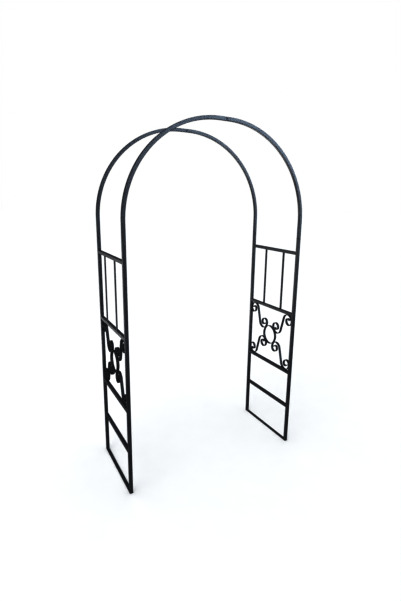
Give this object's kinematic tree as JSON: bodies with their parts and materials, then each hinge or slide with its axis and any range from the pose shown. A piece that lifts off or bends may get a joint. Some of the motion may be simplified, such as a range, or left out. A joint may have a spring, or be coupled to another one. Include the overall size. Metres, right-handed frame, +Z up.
{
  "type": "garden trellis arch",
  "caption": "Black metal garden arch with two ladder-like side panels, scrollwork around a ring in each, and two open hoops overhead.",
  "frame": {"origin": "on the ground, midway between the four legs", "axes": "+X to the right across the walkway, -Y towards the front hoop, +Z up"},
  "size_m": [1.21, 0.5412, 2.195],
  "materials": {
    "black_coating": "satin black powder coat",
    "bare_steel": "uncoated mild steel tube",
    "black_fastener": "black coated steel"
  },
  "bodies": {
    "root": {"left_front_leg": "black_coating", "left_rear_leg": "black_coating", "left_top_crossbar": "black_coating", "left_upper_crossbar": "black_coating", "left_lower_crossbar": "black_coating", "left_bottom_crossbar": "black_coating", "left_foot_bar": "black_coating", "left_front_vertical_bar": "black_coating", "left_rear_vertical_bar": "black_coating", "left_centre_ring": "black_coating", "left_upper_front_scroll": "black_coating", "left_upper_rear_scroll": "black_coating", "left_lower_front_scroll": "black_coating", "left_lower_rear_scroll": "black_coating", "right_front_leg": "black_coating", "right_rear_leg": "black_coating", "right_top_crossbar": "black_coating", "right_upper_crossbar": "black_coating", "right_lower_crossbar": "black_coating", "right_bottom_crossbar": "black_coating", "right_foot_bar": "black_coating", "right_front_vertical_bar": "black_coating", "right_rear_vertical_bar": "black_coating", "right_centre_ring": "black_coating", "right_upper_front_scroll": "black_coating", "right_upper_rear_scroll": "black_coating", "right_lower_front_scroll": "black_coating", "right_lower_rear_scroll": "black_coating", "front_hoop_left_half": "black_coating", "front_hoop_right_half": "black_coating", "rear_hoop_left_half": "black_coating", "rear_hoop_right_half": "black_coating", "front_left_leg_sleeve": "bare_steel", "front_right_leg_sleeve": "bare_steel", "rear_left_leg_sleeve": "bare_steel", "rear_right_leg_sleeve": "bare_steel", "front_apex_sleeve": "bare_steel", "rear_apex_sleeve": "bare_steel", "joint_bolts": "black_fastener", "joint_washers": "black_fastener", "joint_nuts": "black_fastener"}
  },
  "joints": []
}
